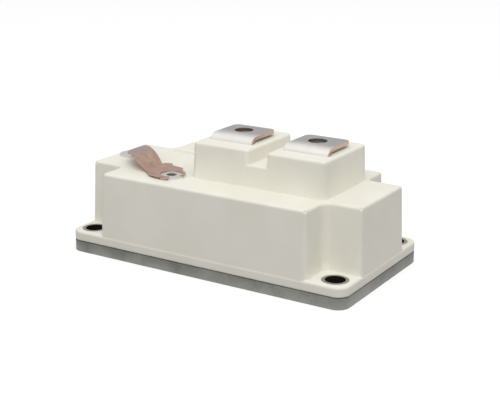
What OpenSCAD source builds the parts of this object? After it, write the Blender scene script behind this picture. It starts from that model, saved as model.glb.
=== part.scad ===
// High-voltage single-switch IGBT module.
// A moulded housing stands on a metal base plate. Two screw terminals for the load sit on
// pedestals, two small control terminals sit on the deck, and a copper clip shorts them for
// storage. Inside, three ceramic substrates carry the chips, the bond wires and the bus bars.
// X runs along the length, Y from front to back, and Z up from the cooling face.

/* [Base plate] */
// Length of the base plate and of the foot of the housing
base_l = 140; // [134:1:160]
// Width of the base plate and of the foot of the housing
base_w = 73; // [71:1:84]
// Thickness of the base plate
base_t = 5; // [3:0.5:8]
// Radius of the corners of the base plate
base_corner_r = 5.5; // [4:0.5:7.5]

/* [Mounting] */
// Distance from the edges of the base plate to the axis of a mounting hole
mount_inset = 8; // [7.5:0.5:9]
// Diameter of the mounting holes in the base plate
mount_d = 7; // [5.5:0.5:8.5]
// Bore of the metal sleeves round the mounting holes
sleeve_bore_d = 8.6; // [8:0.1:10.5]
// Wall thickness of the sleeves
sleeve_wall = 1.2; // [0.8:0.1:2]
// Distance from the centre of the module to the case screws along the length
case_screw_x = 15; // [14:0.5:16]
// Distance from the outer long wall to the axis of a case screw
case_screw_inset = 4.2; // [3.8:0.1:4.4]

/* [Housing] */
// Thickness of the moulded flange
flange_t = 4.4; // [3:0.1:6]
// Height of the deck above the cooling face
deck_z = 38.5; // [36:0.5:46]
// Length of a corner notch along X
notch_l = 17; // [16:0.5:18]
// Length of a corner notch along Y
notch_w = 15.5; // [15:0.5:17]
// Radius in the inner corner of a notch
notch_fillet_r = 3; // [1:0.5:4]
// Lean of the outer walls from the foot to the deck
draft = 1.5; // [0.5:0.1:2]
// Radius of the outer vertical corners
wall_corner_r = 2.5; // [2:0.1:5]
// Radius of the upper edges
edge_r = 1.2; // [0.5:0.1:1.5]
// Thickness of the walls under the deck
wall_t = 2.6; // [2:0.1:3]
// Thickness of the deck
deck_t = 2.8; // [2:0.1:4]
// Thickness of the adhesive seal under the housing
seal_t = 0.3; // [0.2:0.1:0.6]
// Distance of the seal from the outer edge
seal_inset = 1; // [0.5:0.1:2]

/* [Pedestals] */
// Middle of the pair of pedestals along X
pair_x = 18.25; // [16:0.25:20]
// Distance between the load terminals
terminal_pitch = 37; // [36:0.5:40]
// Length of a pedestal along X at its top
pedestal_l = 28; // [26:0.5:29]
// Width of a pedestal along Y at its top
pedestal_w = 37.5; // [34:0.5:40]
// How far the middle of a pedestal lies behind the middle of the deck
pedestal_y = 0.75; // [0:0.25:1]
// Height of a pedestal above the deck
pedestal_h = 16; // [14:0.5:20]
// Height of the plinth between the pedestals
plinth_h = 9.5; // [5:0.5:12]
// How far the plinth stands back from the faces of the pedestals
plinth_inset = 0.1; // [0.05:0.05:1]
// Lean of the walls of a pedestal over its height
pedestal_draft = 0.6; // [0.2:0.1:1]
// Radius of the vertical corners of a pedestal
pedestal_corner_r = 2.6; // [2:0.1:4]
// Height of the low rib behind the control terminals
rib_h = 1.3; // [0.8:0.1:2]
// Width of the low rib
rib_w = 5; // [3:0.5:8]
// Distance from the corner notch to the left end of the rib
rib_inset = 6; // [4:0.5:10]
// Distance of the rib behind the middle of the deck
rib_y = 16.5; // [16:0.5:18]

/* [Load terminals] */
// Width of a terminal plate
plate_w = 21; // [18:0.5:22]
// Thickness of a terminal plate
plate_t = 1.5; // [1.2:0.1:2.5]
// Gap between the top of a pedestal and its terminal plate
plate_gap = 1.2; // [0.4:0.1:1.6]
// Outer radius of the bend
bend_r = 3.6; // [3:0.1:5]
// Distance of the screw hole to the left of the middle of the pedestal
hole_left = 1; // [0:0.25:2]
// Distance of the screw hole behind the middle of the deck
hole_y = 3; // [2:0.5:5]
// Distance from the screw hole to the free end of the plate
hole_to_end = 8.5; // [7:0.5:9]
// Distance from the screw hole to the front of the bend
hole_to_bend = 12.5; // [12:0.5:14]
// Diameter of the screw hole
hole_d = 8.4; // [8.4:0.1:9]
// Radius of the free corners of the plate
plate_corner_r = 2.6; // [0.5:0.1:3]

/* [Control terminals] */
// Place of the gate terminal along X
gate_x = -23; // [-24:0.5:-22]
// Distance from the front edge of the base plate to the gate terminal
gate_inset = 14.5; // [13.5:0.5:16]
// Distance from the left edge of the base plate to the auxiliary emitter terminal
sense_inset = 9.5; // [9:0.5:12]
// Place of the auxiliary emitter terminal along Y
sense_y = -1.5; // [-4:0.5:2]
// Diameter of the ring of a control terminal
lug_d = 11.4; // [10:0.2:12]
// Thickness of a control terminal
lug_t = 0.8; // [0.5:0.1:1]
// Diameter of the hole in a control terminal
lug_hole_d = 4.4; // [4.2:0.1:5]
// Width of the leg of a control terminal
lug_leg_w = 3; // [2:0.5:4]

/* [Shorting clip] */
// Width of the clip
clip_w = 12.4; // [11:0.2:14]
// Thickness of the copper strip
clip_t = 0.5; // [0.3:0.1:0.8]
// Rise of the arch over the terminals
clip_rise = 5; // [4:0.5:7]
// Distance from the gate terminal back to the arch
clip_flat = 13; // [12:0.5:15]
// Distance of the back edge of the strip behind the gate terminal
clip_back = 11.2; // [10:0.2:12]
// Width of the tongue behind the hole of the auxiliary emitter terminal
clip_tongue_w = 2.2; // [1.6:0.1:3]
// How far the clip reaches past the middle of the auxiliary emitter terminal
clip_reach = 2; // [1.5:0.5:3]
// Radius of the claw round the hole of the gate terminal
claw_r = 5; // [4:0.1:5.4]
// Width of the fingers of the claw
claw_finger_w = 1.3; // [1:0.1:2]

/* [Substrates and chips] */
// Distance from the walls round the wide bay to the substrates
substrate_inset = 4.4; // [4:0.1:5]
// Gap between neighbouring substrates
substrate_gap = 1; // [0.5:0.1:2]
// Thickness of the ceramic
ceramic_t = 1; // [0.6:0.1:1.2]
// Thickness of each copper layer
copper_t = 0.3; // [0.2:0.05:0.4]
// Thickness of the solder under a substrate
solder_t = 0.3; // [0.2:0.05:0.4]
// Distance from the chips to the edges of their copper pad
chip_inset = 2; // [1.5:0.1:3]
// Gap between neighbouring chips
chip_gap = 1; // [0.8:0.1:2]
// Thickness of a chip
chip_t = 0.6; // [0.4:0.1:0.8]
// Thickness of the solder under a chip
chip_solder_t = 0.1; // [0.05:0.05:0.15]
// Thickness of a bond wire
wire_t = 0.4; // [0.3:0.05:0.5]
// Number of bond wires on a row of chips
wires_per_row = 4; // [2:1:4]
// Height of the gel over the base plate
gel_h = 11; // [10:0.5:14]

/* [Bus bars] */
// Thickness of the bus bars inside the housing
bar_t = 2; // [1.5:0.1:2]
// Height of the collector bar over the cooling face
collector_bar_z = 20; // [19:0.5:22]
// Height of the emitter bar over the cooling face
emitter_bar_z = 26; // [25:0.5:28]
// Width of a foot of a bus bar
foot_w = 4.4; // [3:0.1:4.8]

/* [Hidden] */
$fn = 64;

eps = 0.01;
// Half the distance between the mounting holes along each axis
mount_x = base_l / 2 - mount_inset;
mount_y = base_w / 2 - mount_inset;
// Lets the round inner corners cross the walls they blend into, at a very small angle
fillet_relief = 0.06;
// Clearance of a piece that is dropped into a moulded pocket or slot
fit = 0.15;

// Levels, from the cooling face upwards
seal_z = base_t + seal_t;
flange_z = seal_z + flange_t;
pedestal_z = deck_z + pedestal_h;
body_h = deck_z - seal_z;
plate_z = pedestal_z + plate_gap;
plate_top_z = plate_z + plate_t;
base_copper_z = base_t + solder_t;
ceramic_z = base_copper_z + copper_t;
top_copper_z = ceramic_z + ceramic_t;
chip_solder_z = top_copper_z + copper_t;
chip_z = chip_solder_z + chip_solder_t;
chip_top_z = chip_z + chip_t;

// Inside of the housing: a long bay between the notches and a wide bay across the middle
wall_foot_t = wall_t + draft;
long_bay = [base_l - 2 * wall_foot_t, base_w - 2 * notch_w - 2 * wall_foot_t];
wide_bay = [base_l - 2 * notch_l - 2 * wall_foot_t, base_w - 2 * wall_foot_t];
bay_corner_r = 2;

// Load terminals
emitter_x = pair_x - terminal_pitch / 2;
collector_x = pair_x + terminal_pitch / 2;
leg_y = hole_y - hole_to_bend;
plate_end_y = hole_y + hole_to_end;
load_nut_af = 13;
load_nut_h = 6.5;
load_thread_d = 6.8;
load_screw_depth = 15;

// Control terminals
gate_y = -base_w / 2 + gate_inset;
sense_x = -base_l / 2 + sense_inset;
control_nut_af = 7;
control_nut_h = 3.2;
control_thread_d = 3.3;
control_boss_d = 12;
control_screw_depth = 8;
lug_leg_y = -lug_d / 2 - lug_t;
lug_top_z = deck_z + lug_t;

// Shorting clip
clip_screw_gap = 0.6;
clip_lap = 0.5;
clip_tooth_h = 3;
clip_tooth_l = 6;
claw_finger_l = 2.7;
claw_shoulder = 1;

// Case screws
case_screw_y = base_w / 2 - case_screw_inset;
case_screw_d = 3;
case_head_d = 5.6;
case_screw_l = 14;
case_head_h = (case_head_d - case_screw_d) / 2;
case_head_sink = 0.3;
case_boss_d = 6.4;
case_boss_h = case_head_sink + case_screw_l + 2 - seal_z;
drive_d = 2.2;
drive_h = 1;

// Three substrates side by side fill the wide bay
substrate_l = (wide_bay[0] - 2 * substrate_inset - 2 * substrate_gap) / 3;
substrate_w = wide_bay[1] - 2 * substrate_inset;
substrate_pitch = substrate_l + substrate_gap;

// Chip layout on one substrate, front to back
pad_margin = 1;
pad_gap = 1.2;
gate_pad_w = 2.2;
emitter_pad_w = 7;
gate_pad_y = -substrate_w / 2 + pad_margin;
emitter_pad_y = gate_pad_y + gate_pad_w + pad_gap;
collector_pad_y = emitter_pad_y + emitter_pad_w + pad_gap;
collector_pad_w = substrate_w / 2 - pad_margin - collector_pad_y;
pad_l = substrate_l - 2 * pad_margin;
foot_land = 4.4;
chip_rows = 3;
// The chips are square, and as large as two columns and three rows allow
chip_side = min(
    (pad_l - 2 * chip_inset - chip_gap) / 2,
    (collector_pad_w - foot_land - chip_inset - (chip_rows - 1) * chip_gap) / chip_rows
);
chip_pitch = chip_side + chip_gap;
first_row_y = collector_pad_y + foot_land + chip_side / 2;
column_x = chip_pitch / 2;
wire_land_y = emitter_pad_y + emitter_pad_w - 1.5;
wire_pitch = 2.2;
wire_stitch = 1;
wire_rise = 2.4;
last_wire_rise = 3;
jumper_land = 1.2;
jumper_rise = 1.6;

// Bus bars
bar_foot_t = 1.5;
collector_foot_y = collector_pad_y + 0.9;
emitter_foot_y = emitter_pad_y + 0.3;
bar_back_y = 3;
bar_end_x = substrate_pitch + foot_w / 2;

// ---------------------------------------------------------------- shared shapes

module rounded_rect(l, w, r) {
    square([l - 2 * r, w], center = true);
    square([l, w - 2 * r], center = true);
    for (sx = [-1, 1], sy = [-1, 1])
        translate([sx * (l / 2 - r), sy * (w / 2 - r)]) circle(r);
}

module at_corners(x, y) {
    for (sx = [-1, 1], sy = [-1, 1])
        translate([sx * x, sy * y, 0]) children();
}

// Rounds to a micrometre, so that the straight and the turned stretches of a wall meet exactly
function whole(v) = round(v * 1000) / 1000;

// One side of a leaning wall with a round upper edge, drawn from the middle outwards
module half_wall(reach, h, lean, r) {
    a = atan(lean / h);
    centre_in = whole(lean * (h - r) / h + r / cos(a));
    touch_in = whole(centre_in - r * cos(a));
    touch_z = whole(h - r + r * sin(a));
    polygon([[0, 0], [reach, 0], [reach - touch_in, touch_z], [reach - centre_in, h], [0, h]]);
    translate([reach - centre_in, h - r]) circle(r);
}

// Full section of a block whose two sides lean inwards
module wall_section(w, h, lean, r) {
    half_wall(w / 2, h, lean, r);
    mirror([1, 0]) half_wall(w / 2, h, lean, r);
}

// Block with leaning sides, round vertical corners and a round upper edge
module moulded_block(l, w, h, lean, corner_r, r) {
    rotate([90, 0, 90]) linear_extrude(l - 2 * corner_r, center = true)
        wall_section(w, h, lean, r);
    rotate([90, 0, 0]) linear_extrude(w - 2 * corner_r, center = true)
        wall_section(l, h, lean, r);
    at_corners(l / 2 - corner_r, w / 2 - corner_r)
        rotate_extrude() intersection() {
            half_wall(corner_r, h, lean, r);
            square([corner_r, h]);
        }
}

// What is cut from a square post to leave the round inner corner between two leaning walls
module inner_corner_cut(corner_r, h, lean, r) {
    a = atan(lean / h);
    cx = corner_r + lean * (h - r) / h + r / cos(a);
    foot = corner_r - lean / h;
    rotate_extrude() difference() {
        polygon([
            [0, -1], [foot, -1], [cx - r * cos(a), h - r + r * sin(a)],
            [cx, h - r], [cx, h + 1], [0, h + 1]
        ]);
        translate([cx, h - r]) circle(r);
    }
}

module hex_nut(across_flats, h, bore_d) {
    difference() {
        cylinder(h = h, d = across_flats / cos(30), $fn = 6);
        translate([0, 0, -eps]) cylinder(h = h + 2 * eps, d = bore_d);
    }
}

// A strip of sheet bent over at its front end, drawn in the YZ plane
module bent_sheet(t, r, front, end, top, low) {
    translate([front + r, top - t]) square([end - front - r, t]);
    intersection() {
        translate([front + r, top - r]) difference() {
            circle(r);
            circle(r - t);
        }
        translate([front, top - r]) square([r, r]);
    }
    translate([front, low]) square([t, top - r - low]);
}

module sweep_x(l) {
    rotate([90, 0, 90]) linear_extrude(l, center = true) children();
}

// ---------------------------------------------------------------- base and fixings

module base_plate() {
    color([0.55, 0.55, 0.52]) difference() {
        linear_extrude(base_t) rounded_rect(base_l, base_w, base_corner_r);
        at_corners(mount_x, mount_y)
            translate([0, 0, -eps]) cylinder(h = base_t + 2 * eps, d = mount_d);
        at_corners(case_screw_x, case_screw_y) case_screw_hole();
    }
}

module mounting_sleeves() {
    color([0.62, 0.62, 0.6]) at_corners(mount_x, mount_y)
        translate([0, 0, base_t]) difference() {
            cylinder(h = flange_z - base_t, d = sleeve_bore_d + 2 * sleeve_wall);
            translate([0, 0, -eps])
                cylinder(h = flange_z - base_t + 2 * eps, d = sleeve_bore_d);
        }
}

// Countersunk head and shank of a case screw, from below; gap widens them
module case_screw_shape(gap) {
    translate([0, 0, case_head_sink])
        cylinder(h = case_head_h, d1 = case_head_d + 2 * gap, d2 = case_screw_d + 2 * gap);
    translate([0, 0, case_head_sink])
        cylinder(h = case_screw_l, d = case_screw_d + 2 * gap);
}

module case_screw_hole() {
    case_screw_shape(fit);
    translate([0, 0, -eps]) cylinder(h = case_head_sink + 2 * eps, d = case_head_d + 2 * fit);
}

module case_screws() {
    color([0.45, 0.45, 0.45]) at_corners(case_screw_x, case_screw_y) difference() {
        case_screw_shape(0);
        translate([0, 0, case_head_sink - eps]) cylinder(h = drive_h, d = drive_d, $fn = 6);
    }
}

// ---------------------------------------------------------------- housing

module bay(h) {
    linear_extrude(h) {
        rounded_rect(long_bay[0], long_bay[1], bay_corner_r);
        rounded_rect(wide_bay[0], wide_bay[1], bay_corner_r);
    }
}

module housing_walls() {
    moulded_block(base_l, base_w - 2 * notch_w, body_h, draft, wall_corner_r, edge_r);
    moulded_block(base_l - 2 * notch_l, base_w, body_h, draft, wall_corner_r, edge_r);
    post = notch_fillet_r + draft + 2 * edge_r;
    for (sx = [0, 1], sy = [0, 1])
        mirror([sx, 0, 0]) mirror([0, sy, 0])
            translate([
                base_l / 2 - notch_l + notch_fillet_r,
                base_w / 2 - notch_w + notch_fillet_r, 0
            ]) difference() {
                translate([-post, -post, 0]) cube([post, post, body_h]);
                inner_corner_cut(notch_fillet_r + fillet_relief, body_h, draft, edge_r + 2 * fillet_relief);
            }
}

module pedestals() {
    low_l = pedestal_l + 2 * pedestal_draft;
    low_w = pedestal_w + 2 * pedestal_draft;
    for (x = [emitter_x, collector_x])
        translate([x, pedestal_y, 0])
            moulded_block(low_l, low_w, pedestal_h, pedestal_draft, pedestal_corner_r, edge_r);
    plinth_lean = pedestal_draft * plinth_h / pedestal_h;
    translate([pair_x, pedestal_y, 0]) rotate([90, 0, 90])
        linear_extrude(terminal_pitch, center = true)
            wall_section(low_w - 2 * plinth_inset, plinth_h, plinth_lean, edge_r / 2);
}

// Low rib on the deck, from the left pedestal towards the control terminals
module rear_rib() {
    left = -base_l / 2 + notch_l + rib_inset;
    right = emitter_x - pedestal_l / 2;
    translate([(left + right) / 2, rib_y, 0])
        sweep_x(right - left) wall_section(rib_w, rib_h, rib_h / 4, rib_h / 3);
}

module load_terminal_cuts(x) {
    translate([x - hole_left, hole_y, pedestal_z - load_nut_h - fit])
        cylinder(h = load_nut_h + 1, d = (load_nut_af + 2 * fit) / cos(30), $fn = 6);
    translate([x - hole_left, hole_y, pedestal_z - load_screw_depth])
        cylinder(h = load_screw_depth, d = load_thread_d + 2.4);
    translate([x - plate_w / 2 - fit, leg_y - fit, deck_z - deck_t - 1])
        cube([plate_w + 2 * fit, plate_t + 2 * fit, pedestal_h + deck_t + 2]);
    // room for the bend where the plate leaves its slot
    translate([x - plate_w / 2 - fit, leg_y - fit, plate_top_z - bend_r - fit])
        cube([plate_w + 2 * fit, bend_r + fit, bend_r]);
}

module control_boss(x, y) {
    h = control_screw_depth + 1.5;
    translate([x, y, deck_z - h]) cylinder(h = h - eps, d = control_boss_d);
}

module control_terminal_cuts(x, y, turn) {
    translate([x, y, 0]) rotate(turn) {
        translate([0, 0, deck_z - control_nut_h - fit])
            cylinder(h = control_nut_h + 1, d = (control_nut_af + 2 * fit) / cos(30), $fn = 6);
        translate([0, 0, deck_z - control_screw_depth])
            cylinder(h = control_screw_depth, d = control_thread_d + 1.2);
        translate([-lug_leg_w / 2 - fit, lug_leg_y - fit, deck_z - control_screw_depth - 3])
            cube([lug_leg_w + 2 * fit, lug_t + 2 * fit, control_screw_depth + 4]);
    }
}

module housing() {
    color([0.93, 0.91, 0.84]) difference() {
        union() {
            difference() {
                translate([0, 0, seal_z]) union() {
                    moulded_block(base_l, base_w, flange_t, 0, base_corner_r, edge_r);
                    housing_walls();
                }
                translate([0, 0, seal_z - eps]) bay(body_h - deck_t);
            }
            translate([0, 0, deck_z - eps]) {
                pedestals();
                rear_rib();
            }
            control_boss(gate_x, gate_y);
            control_boss(sense_x, sense_y);
            at_corners(case_screw_x, case_screw_y) case_boss();
        }
        for (x = [emitter_x, collector_x]) load_terminal_cuts(x);
        control_terminal_cuts(gate_x, gate_y, 0);
        control_terminal_cuts(sense_x, sense_y, 90);
        at_corners(mount_x, mount_y)
            translate([0, 0, seal_z - eps])
                cylinder(h = flange_t + 2 * eps, d = sleeve_bore_d + 2 * sleeve_wall + 2 * fit);
        at_corners(case_screw_x, case_screw_y)
            translate([0, 0, seal_z - eps])
                cylinder(h = case_head_sink + case_screw_l - seal_z + eps, d = case_screw_d);
    }
}

// Boss on the long wall that takes a case screw
module case_boss() {
    translate([0, 0, seal_z]) cylinder(h = case_boss_h, d = case_boss_d);
}

module housing_seal() {
    color([0.2, 0.2, 0.2]) translate([0, 0, base_t]) difference() {
        linear_extrude(seal_t)
            rounded_rect(base_l - 2 * seal_inset, base_w - 2 * seal_inset, base_corner_r - seal_inset);
        translate([0, 0, -eps]) bay(seal_t + 2 * eps);
        at_corners(mount_x, mount_y)
            translate([0, 0, -eps])
                cylinder(h = seal_t + 2 * eps, d = sleeve_bore_d + 2 * sleeve_wall + 2 * fit);
        at_corners(case_screw_x, case_screw_y)
            translate([0, 0, -eps]) cylinder(h = seal_t + 2 * eps, d = case_screw_d + 2 * fit);
    }
}

// ---------------------------------------------------------------- load terminals

// Plate over the pedestal, bent down through its slot to the height low
module load_plate(x, low) {
    translate([x, 0, 0]) difference() {
        intersection() {
            sweep_x(plate_w) bent_sheet(plate_t, bend_r, leg_y, plate_end_y, plate_top_z, low);
            translate([0, (leg_y + plate_end_y) / 2, low - 1])
                linear_extrude(plate_top_z - low + 2) {
                    rounded_rect(plate_w, plate_end_y - leg_y, plate_corner_r);
                    translate([-plate_w / 2, (leg_y - plate_end_y) / 2])
                        square([plate_w, bend_r]);
                }
        }
        translate([-hole_left, hole_y, plate_z - 1]) cylinder(h = plate_t + 2, d = hole_d);
    }
}

// Feet that stand on the three substrates and carry a bus bar
module bar_feet(y, bar_z) {
    for (i = [-1 : 1])
        translate([i * substrate_pitch - foot_w / 2, y, chip_solder_z]) {
            cube([foot_w, bar_foot_t, bar_z - chip_solder_z + eps]);
            cube([foot_w, bar_foot_t + 1, bar_foot_t]);
        }
}

module collector_terminal() {
    color([0.75, 0.73, 0.72]) {
        load_plate(collector_x, collector_bar_z);
        translate([-bar_end_x, collector_foot_y, collector_bar_z])
            cube([bar_end_x + collector_x + plate_w / 2, bar_back_y - collector_foot_y, bar_t]);
        bar_feet(collector_foot_y, collector_bar_z);
    }
}

module emitter_terminal() {
    color([0.75, 0.73, 0.72]) {
        load_plate(emitter_x, emitter_bar_z);
        translate([-bar_end_x, emitter_foot_y, emitter_bar_z])
            cube([bar_end_x + emitter_x + plate_w / 2, bar_back_y - emitter_foot_y, bar_t]);
        translate([-bar_end_x, emitter_foot_y, emitter_bar_z])
            cube([2 * bar_end_x, emitter_pad_w - 2, bar_t]);
        bar_feet(emitter_foot_y, emitter_bar_z);
    }
}

module load_terminal_nuts() {
    color([0.6, 0.6, 0.62])
        for (x = [emitter_x, collector_x])
            translate([x - hole_left, hole_y, pedestal_z - load_nut_h - fit])
                hex_nut(load_nut_af, load_nut_h, load_thread_d);
}

// ---------------------------------------------------------------- control terminals

// Ring on the deck with a leg that goes down through its slot to the height low
module control_lug(low) {
    difference() {
        union() {
            translate([0, 0, deck_z]) cylinder(h = lug_t, d = lug_d);
            translate([-lug_leg_w / 2, lug_leg_y, deck_z]) cube([lug_leg_w, -lug_leg_y, lug_t]);
        }
        translate([0, 0, deck_z - eps]) cylinder(h = lug_t + 2 * eps, d = lug_hole_d);
    }
    translate([-lug_leg_w / 2, lug_leg_y, low]) cube([lug_leg_w, lug_t, deck_z + eps - low]);
}

module gate_terminal() {
    foot_end = gate_pad_y + gate_pad_w - 0.3;
    color([0.8, 0.78, 0.76]) {
        translate([gate_x, gate_y, 0]) control_lug(chip_solder_z);
        translate([gate_x - lug_leg_w / 2, gate_y + lug_leg_y, chip_solder_z])
            cube([lug_leg_w, foot_end - gate_y - lug_leg_y, lug_t]);
    }
}

module auxiliary_emitter_terminal() {
    strip_z = emitter_bar_z + (bar_t - lug_t) / 2;
    start_x = sense_x - lug_leg_y - lug_t;
    color([0.8, 0.78, 0.76]) {
        translate([sense_x, sense_y, 0]) rotate(90) control_lug(strip_z);
        translate([start_x, sense_y - lug_leg_w / 2, strip_z])
            cube([-bar_end_x - start_x, lug_leg_w, lug_t]);
    }
}

module control_terminal_nuts() {
    color([0.6, 0.6, 0.62])
        for (p = [[gate_x, gate_y], [sense_x, sense_y]])
            translate([p[0], p[1], deck_z - control_nut_h - fit])
                hex_nut(control_nut_af, control_nut_h, control_thread_d);
}

// ---------------------------------------------------------------- shorting clip

// The strip rises in an arch over the deck. It lands with a tongue on the auxiliary emitter
// terminal and with a claw round the hole of the gate terminal, and leaves both holes open.
// X and Y run from the gate terminal.
module clip_arch(span) {
    r = (span * span / 4 + clip_rise * clip_rise) / (2 * clip_rise);
    intersection() {
        translate([-span / 2, clip_rise - r]) difference() {
            circle(r, $fn = 128);
            circle(r - clip_t, $fn = 128);
        }
        translate([-span, 0]) square([span, clip_rise + 1]);
    }
}

// Outline of the arched stretch from above. Its back edge aims behind the hole of the auxiliary
// emitter terminal, and its front edge curves away to leave a tongue there.
module clip_strip_outline(span) {
    front = clip_back - clip_w;
    end = -clip_flat - span;
    sense = [sense_x - gate_x, sense_y - gate_y];
    room = lug_hole_d / 2 + clip_screw_gap;
    run = -clip_flat - sense[0];
    rough_slant = (sense[1] + room + clip_tongue_w - clip_back) / run;
    stretch = sqrt(1 + rough_slant * rough_slant);
    slant = (sense[1] + (room + clip_tongue_w) * stretch - clip_back) / run;
    function back_edge(x) = clip_back - slant * (x + clip_flat);
    function tongue_front(x) = back_edge(x) - clip_tongue_w * stretch;
    polygon([
        for (t = [0 : 0.14 : 0.7]) [-clip_flat - t * span, front + t * t * (sense[1] - front)],
        [sense[0] + room, tongue_front(sense[0] + room)], [end, tongue_front(end)],
        [end, back_edge(end)],
        [-clip_flat, clip_back], [-clip_flat + clip_lap, clip_back], [-clip_flat + clip_lap, front]
    ]);
}

// Outline of the flat stretch from above: a tooth behind, and two fingers round the hole
module clip_claw_outline() {
    start = -clip_flat - clip_lap;
    outer_r = claw_r + claw_finger_w;
    difference() {
        polygon([
            [start, clip_back - clip_w], [start, clip_back],
            [-clip_flat, clip_back + clip_tooth_h - claw_shoulder],
            [-clip_flat + clip_tooth_l / 2, clip_back + clip_tooth_h],
            [-clip_flat + clip_tooth_l, clip_back],
            [-claw_shoulder, clip_back - claw_shoulder], [0, outer_r + claw_shoulder],
            [outer_r * cos(45), outer_r * sin(45)], [outer_r, 0],
            [claw_r, -claw_finger_w / 2], [0, 0],
            [claw_finger_l, -claw_r - claw_shoulder], [claw_finger_l, -outer_r - claw_shoulder],
            [-outer_r / 2, -outer_r - claw_shoulder], [-outer_r - claw_shoulder, -outer_r]
        ]);
        circle(claw_r);
    }
}

module shorting_clip() {
    span = gate_x - clip_flat - sense_x + clip_reach;
    color([0.72, 0.5, 0.4]) translate([gate_x, gate_y, lug_top_z]) {
        intersection() {
            translate([-clip_flat, 0, 0]) rotate([90, 0, 0])
                linear_extrude(6 * clip_w, center = true) clip_arch(span);
            linear_extrude(clip_rise + 1) clip_strip_outline(span);
        }
        linear_extrude(clip_t) clip_claw_outline();
    }
}

// ---------------------------------------------------------------- substrates and chips

module at_substrates() {
    for (i = [-1 : 1]) translate([i * substrate_pitch, 0, 0]) children();
}

// Places of the chips on all substrates; the last row holds the diodes
module at_chips(first, last) {
    at_substrates()
        for (row = [first : last], sx = [-1, 1])
            translate([sx * column_x, first_row_y + row * chip_pitch, 0]) children();
}

module centred_plate(l, w, z, t) {
    translate([-l / 2, -w / 2, z]) cube([l, w, t]);
}

module substrate_solder() {
    color([0.7, 0.7, 0.72]) at_substrates()
        centred_plate(pad_l, substrate_w - 2 * pad_margin, base_t, solder_t);
}

module substrate_base_copper() {
    color([0.75, 0.5, 0.38]) at_substrates()
        centred_plate(pad_l, substrate_w - 2 * pad_margin, base_copper_z, copper_t);
}

module substrate_ceramics() {
    color([0.88, 0.88, 0.86]) at_substrates()
        centred_plate(substrate_l, substrate_w, ceramic_z, ceramic_t);
}

// Gate strip, emitter strip and collector island of each substrate
module substrate_top_copper() {
    color([0.75, 0.5, 0.38]) at_substrates()
        for (pad = [
            [gate_pad_y, gate_pad_w], [emitter_pad_y, emitter_pad_w],
            [collector_pad_y, collector_pad_w]
        ])
            translate([-pad_l / 2, pad[0], top_copper_z]) cube([pad_l, pad[1], copper_t]);
}

module chip_solder() {
    color([0.7, 0.7, 0.72]) at_chips(0, chip_rows - 1)
        centred_plate(chip_side, chip_side, chip_solder_z, chip_solder_t);
}

module igbt_chips() {
    color([0.35, 0.36, 0.4]) at_chips(0, chip_rows - 2)
        centred_plate(chip_side, chip_side, chip_z, chip_t);
}

module diode_chips() {
    color([0.45, 0.42, 0.4]) at_chips(chip_rows - 1, chip_rows - 1)
        centred_plate(chip_side, chip_side, chip_z, chip_t);
}

// Loop of wire over a span, standing on the line y = 0
module wire_loop(span, rise) {
    r = (span * span / 4 + rise * rise) / (2 * rise);
    intersection() {
        translate([0, rise - r]) difference() {
            circle(r);
            circle(r - wire_t);
        }
        translate([-span / 2, 0]) square([span, rise]);
    }
}

// One wire, stitched from the diode over both rows of switches to the emitter strip
module stitched_wire() {
    last_span = first_row_y - wire_land_y;
    for (row = [0 : chip_rows - 2])
        translate([first_row_y + (row + 0.5) * chip_pitch, chip_top_z])
            wire_loop(chip_pitch + wire_stitch, wire_rise);
    translate([(first_row_y + wire_land_y) / 2, chip_top_z])
        wire_loop(last_span + wire_stitch, last_wire_rise);
    translate([wire_land_y - wire_stitch / 2, chip_solder_z])
        square([wire_stitch, chip_top_z - chip_solder_z + 0.1]);
}

module bond_wires() {
    color([0.8, 0.8, 0.82]) at_substrates()
        for (sx = [-1, 1], i = [0 : wires_per_row - 1])
            translate([sx * column_x + (i - (wires_per_row - 1) / 2) * wire_pitch, 0, 0])
                sweep_x(wire_t) stitched_wire();
}

// Short wires that carry the gate signal from one substrate to the next
module gate_jumpers() {
    color([0.8, 0.8, 0.82])
        for (sx = [-1, 1])
            translate([sx * substrate_pitch / 2, gate_pad_y + gate_pad_w / 2, chip_solder_z])
                rotate([90, 0, 0]) linear_extrude(wire_t, center = true)
                    wire_loop(substrate_pitch - pad_l + 2 * jumper_land, jumper_rise);
}

module silicone_gel() {
    color([0.8, 0.85, 0.85, 0.5]) difference() {
        translate([0, 0, base_t]) bay(gel_h);
        at_corners(case_screw_x, case_screw_y) case_boss();
        substrate_solder();
        substrate_base_copper();
        substrate_ceramics();
        substrate_top_copper();
        chip_solder();
        igbt_chips();
        diode_chips();
        bond_wires();
        gate_jumpers();
        collector_terminal();
        emitter_terminal();
        gate_terminal();
    }
}

base_plate();
housing();
housing_seal();
mounting_sleeves();
case_screws();
collector_terminal();
emitter_terminal();
load_terminal_nuts();
gate_terminal();
auxiliary_emitter_terminal();
control_terminal_nuts();
shorting_clip();
substrate_solder();
substrate_base_copper();
substrate_ceramics();
substrate_top_copper();
chip_solder();
igbt_chips();
diode_chips();
bond_wires();
gate_jumpers();
silicone_gel();
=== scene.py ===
"""Looks of the IGBT power module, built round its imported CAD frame. Metres throughout."""

import math

import bpy
from mathutils import Matrix, Vector

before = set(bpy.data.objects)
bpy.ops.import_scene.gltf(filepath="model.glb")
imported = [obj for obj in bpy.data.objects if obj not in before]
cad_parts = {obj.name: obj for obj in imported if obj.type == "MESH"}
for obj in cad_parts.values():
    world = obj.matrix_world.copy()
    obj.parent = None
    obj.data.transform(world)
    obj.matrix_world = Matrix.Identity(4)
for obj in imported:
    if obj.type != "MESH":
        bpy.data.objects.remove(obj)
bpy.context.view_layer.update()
MM = 0.001

# Places on the module that the materials follow
BASE_TOP = 5 * MM
# Where the painted reflection on the terminal plates is at full strength, and where it ends
PLATE_SHEEN_FULL_Y = -7 * MM
PLATE_SHEEN_END_Y = 2 * MM
# Height from which the painted grey sheen over the clip's arch starts
CLIP_SHEEN_FROM_Z = 43.3 * MM
CLIP_TOP_Z = 44.2 * MM

# ---------------------------------------------------------------- camera

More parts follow.
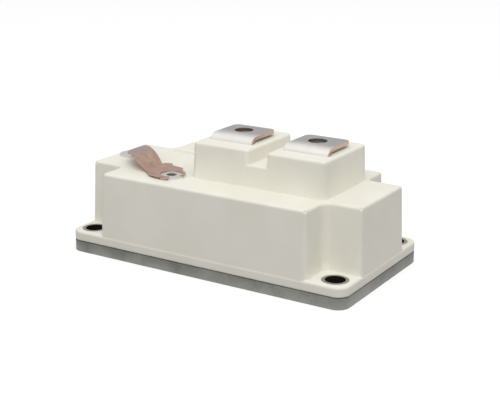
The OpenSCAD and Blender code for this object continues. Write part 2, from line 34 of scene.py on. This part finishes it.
CAMERA_AZIMUTH = math.radians(31.71)
CAMERA_ELEVATION = math.radians(16.87)
CAMERA_ROLL = math.radians(0.29)
CAMERA_DISTANCE = 494.5 * MM
CAMERA_LENS = 79.23
AIM_HEIGHT = 20 * MM
AIM_RIGHT = 3.29 * MM
AIM_UP = 5.52 * MM


def add_camera():
    """Camera before the right front corner, aimed a little right of and above the module's middle."""
    back = Vector((
        math.sin(CAMERA_AZIMUTH) * math.cos(CAMERA_ELEVATION),
        -math.cos(CAMERA_AZIMUTH) * math.cos(CAMERA_ELEVATION),
        math.sin(CAMERA_ELEVATION),
    ))
    right = Vector((math.cos(CAMERA_AZIMUTH), math.sin(CAMERA_AZIMUTH), 0))
    up = back.cross(right)
    aim = Vector((0, 0, AIM_HEIGHT)) + AIM_RIGHT * right + AIM_UP * up
    rolled_right = math.cos(CAMERA_ROLL) * right + math.sin(CAMERA_ROLL) * up
    rolled_up = math.cos(CAMERA_ROLL) * up - math.sin(CAMERA_ROLL) * right
    data = bpy.data.cameras.new("camera")
    data.lens = CAMERA_LENS
    data.sensor_width = 36
    data.clip_start = 0.01
    camera = bpy.data.objects.new("camera", data)
    bpy.context.scene.collection.objects.link(camera)
    turn = Matrix((rolled_right, rolled_up, back)).transposed()
    camera.matrix_world = Matrix.Translation(aim + CAMERA_DISTANCE * back) @ turn.to_4x4()
    bpy.context.scene.camera = camera


# ---------------------------------------------------------------- material helpers


BEVEL_SAMPLES = 8
NOT_FACING = 0.55
FACING = 0.75


class Surface:
    """A material under construction: one Principled shader and the nodes that feed it."""

    def __init__(self, name, roughness=0.5, metallic=0.0):
        self.material = bpy.data.materials.new(name)
        self.material.use_nodes = True
        self.nodes = self.material.node_tree.nodes
        self.links = self.material.node_tree.links
        self.shader = self.nodes["Principled BSDF"]
        self.shader.inputs["Roughness"].default_value = roughness
        self.shader.inputs["Metallic"].default_value = metallic
        coordinates = self.add("ShaderNodeTexCoord")
        self.place = coordinates.outputs["Object"]
        self.facing = coordinates.outputs["Normal"]

    def add(self, kind, **inputs):
        """New node with its inputs set by name; an underscore stands for a space."""
        node = self.nodes.new(kind)
        for key, value in inputs.items():
            node.inputs[key.replace("_", " ")].default_value = value
        return node

    def join(self, source, target):
        self.links.new(source, target)

    def stretched(self, x, y, z):
        """Object coordinates scaled by a factor along each axis."""
        mapping = self.add("ShaderNodeMapping", Scale=(x, y, z))
        self.join(self.place, mapping.inputs["Vector"])
        return mapping.outputs["Vector"]

    def noise(self, size, detail=3.0, roughness=0.55, vector=None):
        """Noise whose features are about size metres across; its values spread round 0.5."""
        node = self.add("ShaderNodeTexNoise", Scale=1 / size, Detail=detail, Roughness=roughness)
        self.join(vector or self.place, node.inputs["Vector"])
        return node.outputs["Fac"]

    def ramp(self, value, low, high, start=0.0, end=1.0):
        """value, mapped from low..high to start..end and held there outside."""
        node = self.add("ShaderNodeMapRange")
        node.inputs["From Min"].default_value = low
        node.inputs["From Max"].default_value = high
        node.inputs["To Min"].default_value = start
        node.inputs["To Max"].default_value = end
        self.join(value, node.inputs["Value"])
        return node.outputs["Result"]

    def maths(self, operation, first, second):
        """Result of an operation on two values, each a number or a socket."""
        node = self.add("ShaderNodeMath")
        node.operation = operation
        for socket, value in zip(node.inputs, (first, second)):
            if isinstance(value, (int, float)):
                socket.default_value = value
            else:
                self.join(value, socket)
        return node.outputs["Value"]

    def blend(self, factor, first, second):
        """Mix of two colours, each a triple or a socket."""
        node = self.add("ShaderNodeMix")
        node.data_type = "RGBA"
        self.join(factor, node.inputs["Factor"])
        for socket, value in ((node.inputs[6], first), (node.inputs[7], second)):
            if isinstance(value, tuple):
                socket.default_value = (*value, 1)
            else:
                self.join(value, socket)
        return node.outputs[2]

    def colour(self, source):
        self.join(source, self.shader.inputs["Base Color"])

    def rough(self, source):
        self.join(source, self.shader.inputs["Roughness"])

    def bump(self, height, depth, strength=1.0, edge=0):
        """Relief of depth metres from a height between 0 and 1, over edges softened by a radius."""
        node = self.add("ShaderNodeBump", Strength=strength, Distance=depth)
        self.join(height, node.inputs["Height"])
        if edge:
            soft = self.add("ShaderNodeBevel", Radius=edge)
            soft.samples = BEVEL_SAMPLES
            self.join(soft.outputs["Normal"], node.inputs["Normal"])
        self.join(node.outputs["Normal"], self.shader.inputs["Normal"])

    def axis(self, name, vector=None):
        """X, Y or Z of a vector, by default of the place on the module."""
        split = self.add("ShaderNodeSeparateXYZ")
        self.join(vector or self.place, split.inputs["Vector"])
        return split.outputs[name]

    def faces(self, name):
        """1 on the surfaces that face along an axis, either way, and 0 on the others."""
        turned = self.maths("ABSOLUTE", self.axis(name, self.facing), 0)
        return self.ramp(turned, NOT_FACING, FACING)


# ---------------------------------------------------------------- materials


def housing_plastic():
    """Ivory moulded plastic: a fine spark-eroded texture, faint clouds and a trace of dust."""
    s = Surface("ivory_plastic")
    cloud = s.ramp(s.noise(22 * MM, detail=2), 0.35, 0.65)
    base = s.blend(cloud, (0.805, 0.785, 0.690), (0.838, 0.815, 0.730))
    speck = s.ramp(s.noise(0.9 * MM, detail=4, roughness=0.7), 0.62, 0.8, 0, 0.35)
    s.colour(s.blend(speck, base, (0.76, 0.72, 0.62)))
    s.rough(s.ramp(s.noise(3 * MM), 0.3, 0.7, 0.44, 0.58))
    s.bump(s.noise(0.35 * MM, detail=2), 0.015 * MM, strength=0.5, edge=0.9 * MM)
    s.shader.inputs["Specular IOR Level"].default_value = 0.4
    return s.material


def base_metal():
    """Matte metal plate: grey and mottled with fine grain, with painted shade darkening it towards its
    upper edge.
    """
    s = Surface("base_plate_metal", metallic=0.6)
    grain = s.noise(0.5 * MM, detail=5, roughness=0.7)
    cloud = s.noise(9 * MM, detail=3)
    patch = s.noise(26 * MM, detail=2)
    # Painted shade: the colour lightens towards the bottom and darkens towards the upper edge, beneath
    # the plastic
    top_shade = s.ramp(s.axis("Z"), 0, BASE_TOP, 0.2, -0.2)
    mottle = s.maths("ADD", s.maths("ADD", grain, cloud), s.maths("ADD", patch, top_shade))
    s.colour(s.blend(s.ramp(mottle, 1.15, 1.85), (0.15, 0.155, 0.137), (0.36, 0.365, 0.335)))
    s.rough(s.ramp(cloud, 0.3, 0.7, 0.42, 0.6))
    s.bump(grain, 0.03 * MM, strength=0.6, edge=0.4 * MM)
    return s.material


def terminal_metal():
    """Nickel-plated copper plate: silver faces with a painted reflection that makes them bright at the
    front, bare copper where sheared.
    """
    s = Surface("nickel_plate")
    brushed = s.noise(0.5 * MM, detail=3, vector=s.stretched(1, 0.08, 1))
    cloud = s.noise(7 * MM, detail=3)
    silver = s.blend(cloud, (0.46, 0.44, 0.43), (0.60, 0.58, 0.57))
    sheen_tone = s.blend(cloud, (0.93, 0.90, 0.86), (0.98, 0.96, 0.93))
    uneven_y = s.maths("ADD", s.axis("Y"), s.maths("MULTIPLY", cloud, 5 * MM))
    # Painted highlight: towards the front the faces turn near-white and less metallic, standing in for
    # the reflection of the bright light
    painted_sheen = s.ramp(uneven_y, PLATE_SHEEN_FULL_Y, PLATE_SHEEN_END_Y, 1, 0)
    nickel = s.blend(painted_sheen, silver, sheen_tone)
    marks = s.noise(0.25 * MM, detail=3, vector=s.stretched(1, 1, 0.25))
    copper = s.blend(s.ramp(marks, 0.3, 0.7), (0.50, 0.33, 0.23), (0.66, 0.47, 0.36))
    s.colour(s.blend(s.faces("X"), nickel, copper))
    s.join(s.maths("SUBTRACT", 1, s.maths("MULTIPLY", painted_sheen, 0.45)), s.shader.inputs["Metallic"])
    s.rough(s.ramp(brushed, 0.3, 0.7, 0.3, 0.42))
    s.bump(brushed, 0.006 * MM, strength=0.5)
    return s.material


def clip_copper():
    """Bare copper strip, dulled by handling, with tarnish in patches and a painted grey sheen over the
    arch.
    """
    s = Surface("clip_copper", metallic=0.75)
    tarnish = s.ramp(s.noise(4 * MM, detail=4), 0.35, 0.7)
    base = s.blend(tarnish, (0.56, 0.36, 0.28), (0.40, 0.27, 0.22))
    streak = s.ramp(s.noise(0.8 * MM, detail=4, vector=s.stretched(0.2, 1, 1)), 0.45, 0.75, 0, 0.6)
    worn = s.blend(streak, base, (0.66, 0.47, 0.38))
    # Painted sheen: grey laid over the top of the arch, standing in for a reflection
    crown_sheen = s.ramp(s.axis("Z"), CLIP_SHEEN_FROM_Z, CLIP_TOP_Z, 0, 0.6)
    s.colour(s.blend(crown_sheen, worn, (0.40, 0.36, 0.33)))
    s.rough(s.ramp(tarnish, 0, 1, 0.38, 0.55))
    s.bump(s.noise(1.2 * MM, detail=4), 0.03 * MM, strength=0.6)
    return s.material


def plated(name, dark, light, roughness):
    """Plain plated metal with fine grain and clouded tone."""
    s = Surface(name, metallic=1.0)
    fine = s.noise(0.4 * MM, detail=3)
    s.colour(s.blend(s.noise(3 * MM), dark, light))
    s.rough(s.ramp(fine, 0.3, 0.7, roughness - 0.06, roughness + 0.08))
    s.bump(fine, 0.008 * MM, strength=0.5)
    return s.material


def turned_sleeve():
    """Turned steel ring whose bore is dull and painted near-black as the shade inside the hole."""
    s = Surface("sleeve_steel", metallic=0.8)
    fine = s.noise(0.4 * MM, detail=3)
    ring = s.blend(fine, (0.26, 0.26, 0.25), (0.44, 0.44, 0.42))
    # Painted shade: the bore's walls are near-black, standing in for the shade inside the hole
    bore_shade = s.blend(fine, (0.012, 0.010, 0.008), (0.03, 0.026, 0.02))
    top = s.faces("Z")
    s.colour(s.blend(top, bore_shade, ring))
    s.rough(s.ramp(top, 0, 1, 0.8, 0.42))
    s.bump(fine, 0.01 * MM, strength=0.5)
    return s.material


def seal_rubber():
    """Dark, dull bead of adhesive."""
    s = Surface("seal_adhesive", roughness=0.8)
    s.colour(s.blend(s.noise(1.5 * MM), (0.03, 0.03, 0.027), (0.07, 0.07, 0.06)))
    s.bump(s.noise(0.8 * MM), 0.03 * MM)
    return s.material


def ceramic():
    """White sintered plate with a fine grain."""
    s = Surface("ceramic", roughness=0.6)
    s.colour(s.blend(s.noise(0.6 * MM, detail=4), (0.74, 0.73, 0.70), (0.84, 0.83, 0.81)))
    s.bump(s.noise(0.3 * MM), 0.01 * MM)
    return s.material


def silicon(name, dark, light):
    """Dark, smooth chip."""
    s = Surface(name, metallic=0.2)
    s.colour(s.blend(s.noise(2 * MM), dark, light))
    s.rough(s.ramp(s.noise(1 * MM), 0.3, 0.7, 0.15, 0.28))
    return s.material


def clear_gel():
    """Clear potting gel."""
    s = Surface("silicone_gel", roughness=0.12)
    s.colour(s.blend(s.noise(9 * MM), (0.80, 0.83, 0.82), (0.88, 0.90, 0.89)))
    s.shader.inputs["Transmission Weight"].default_value = 0.85
    s.shader.inputs["IOR"].default_value = 1.41
    return s.material


def dress(material, *names):
    """Gives the CAD nodes one material."""
    for name in names:
        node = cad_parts[name]
        node.data.materials.clear()
        node.data.materials.append(material)


# ---------------------------------------------------------------- stage and light

FLOOR_SIZE = 8
FLOOR_SEEN = 0.52
FLOOR_GLOW = 0.54
FLOOR_BOUNCE = 0.22
LAMP_AIM = Vector((0, 0, 20 * MM))


def add_floor():
    """White floor that keeps the shadow; it sends less light back to the walls than it shows."""
    bpy.ops.mesh.primitive_plane_add(size=FLOOR_SIZE, location=(0, 0, 0))
    floor = bpy.context.object
    floor.name = "floor"
    material = bpy.data.materials.new("floor_white")
    material.use_nodes = True
    nodes, links = material.node_tree.nodes, material.node_tree.links
    nodes.remove(nodes["Principled BSDF"])
    path = nodes.new("ShaderNodeLightPath")
    seen = path.outputs["Is Camera Ray"]
    for ray in ("Is Glossy Ray", "Is Transmission Ray"):
        either = nodes.new("ShaderNodeMath")
        either.operation = "MAXIMUM"
        links.new(seen, either.inputs[0])
        links.new(path.outputs[ray], either.inputs[1])
        seen = either.outputs[0]
    plain = nodes.new("ShaderNodeBsdfDiffuse")
    plain.inputs["Color"].default_value = (FLOOR_BOUNCE, FLOOR_BOUNCE, FLOOR_BOUNCE, 1)
    lit = nodes.new("ShaderNodeBsdfDiffuse")
    lit.inputs["Color"].default_value = (FLOOR_SEEN, FLOOR_SEEN, FLOOR_SEEN, 1)
    glow = nodes.new("ShaderNodeEmission")
    glow.inputs["Strength"].default_value = FLOOR_GLOW
    white = nodes.new("ShaderNodeAddShader")
    links.new(lit.outputs[0], white.inputs[0])
    links.new(glow.outputs[0], white.inputs[1])
    choice = nodes.new("ShaderNodeMixShader")
    links.new(seen, choice.inputs["Fac"])
    links.new(plain.outputs[0], choice.inputs[1])
    links.new(white.outputs[0], choice.inputs[2])
    links.new(choice.outputs[0], nodes["Material Output"].inputs["Surface"])
    floor.data.materials.append(material)


def add_softbox(name, azimuth, elevation, distance, size, radiance):
    """Square soft light of the given radiance, aimed at the module from azimuth and elevation."""
    data = bpy.data.lights.new(name, "AREA")
    data.shape = "SQUARE"
    data.size = size
    data.energy = radiance * math.pi * size * size
    lamp = bpy.data.objects.new(name, data)
    bpy.context.scene.collection.objects.link(lamp)
    turn, rise = math.radians(azimuth), math.radians(elevation)
    towards = Vector((
        math.sin(turn) * math.cos(rise), -math.cos(turn) * math.cos(rise), math.sin(rise)))
    lamp.location = LAMP_AIM + distance * towards
    lamp.rotation_euler = towards.to_track_quat("Z", "Y").to_euler()


def add_world(low, high):
    """White studio dome, a little brighter overhead; the camera sees plain white."""
    world = bpy.data.worlds.new("studio")
    bpy.context.scene.world = world
    world.use_nodes = True
    nodes, links = world.node_tree.nodes, world.node_tree.links
    place = nodes.new("ShaderNodeTexCoord")
    split = nodes.new("ShaderNodeSeparateXYZ")
    links.new(place.outputs["Generated"], split.inputs["Vector"])
    dome = nodes.new("ShaderNodeMapRange")
    dome.inputs["To Min"].default_value = low
    dome.inputs["To Max"].default_value = high
    links.new(split.outputs["Z"], dome.inputs["Value"])
    path = nodes.new("ShaderNodeLightPath")
    clear = nodes.new("ShaderNodeMath")
    clear.operation = "MAXIMUM"
    links.new(path.outputs["Is Camera Ray"], clear.inputs[0])
    links.new(path.outputs["Is Transmission Ray"], clear.inputs[1])
    seen = nodes.new("ShaderNodeMath")
    seen.operation = "MAXIMUM"
    links.new(clear.outputs[0], seen.inputs[0])
    links.new(dome.outputs["Result"], seen.inputs[1])
    links.new(seen.outputs[0], nodes["Background"].inputs["Strength"])
    nodes["Background"].inputs["Color"].default_value = (1, 1, 1, 1)


# ---------------------------------------------------------------- build

bpy.context.scene.view_settings.view_transform = "Standard"
add_camera()

dress(housing_plastic(), "housing")
dress(base_metal(), "base_plate")
dress(terminal_metal(), "collector_terminal", "emitter_terminal")
dress(clip_copper(), "shorting_clip")
dress(seal_rubber(), "housing_seal")
dress(plated("tin_plate", (0.70, 0.69, 0.67), (0.82, 0.81, 0.79), 0.42),
      "gate_terminal", "auxiliary_emitter_terminal")
dress(turned_sleeve(), "mounting_sleeves")
dress(plated("dull_steel", (0.05, 0.045, 0.04), (0.12, 0.11, 0.10), 0.5),
      "load_terminal_nuts", "control_terminal_nuts")
dress(plated("zinc_steel", (0.38, 0.38, 0.38), (0.52, 0.52, 0.52), 0.35), "case_screws")
dress(plated("solder_tin", (0.42, 0.42, 0.43), (0.56, 0.56, 0.57), 0.45),
      "substrate_solder", "chip_solder")
dress(plated("substrate_copper", (0.55, 0.30, 0.20), (0.66, 0.38, 0.26), 0.4),
      "substrate_base_copper", "substrate_top_copper")
dress(plated("wire_aluminium", (0.62, 0.62, 0.64), (0.75, 0.75, 0.77), 0.35),
      "bond_wires", "gate_jumpers")
dress(ceramic(), "substrate_ceramics")
dress(silicon("igbt_silicon", (0.05, 0.055, 0.08), (0.09, 0.10, 0.13)), "igbt_chips")
dress(silicon("diode_silicon", (0.10, 0.09, 0.08), (0.17, 0.15, 0.13)), "diode_chips")
dress(clear_gel(), "silicone_gel")

add_floor()
add_softbox("key", azimuth=32, elevation=58, distance=1.3, size=1.1, radiance=2.1)
add_world(low=0.55, high=0.85)
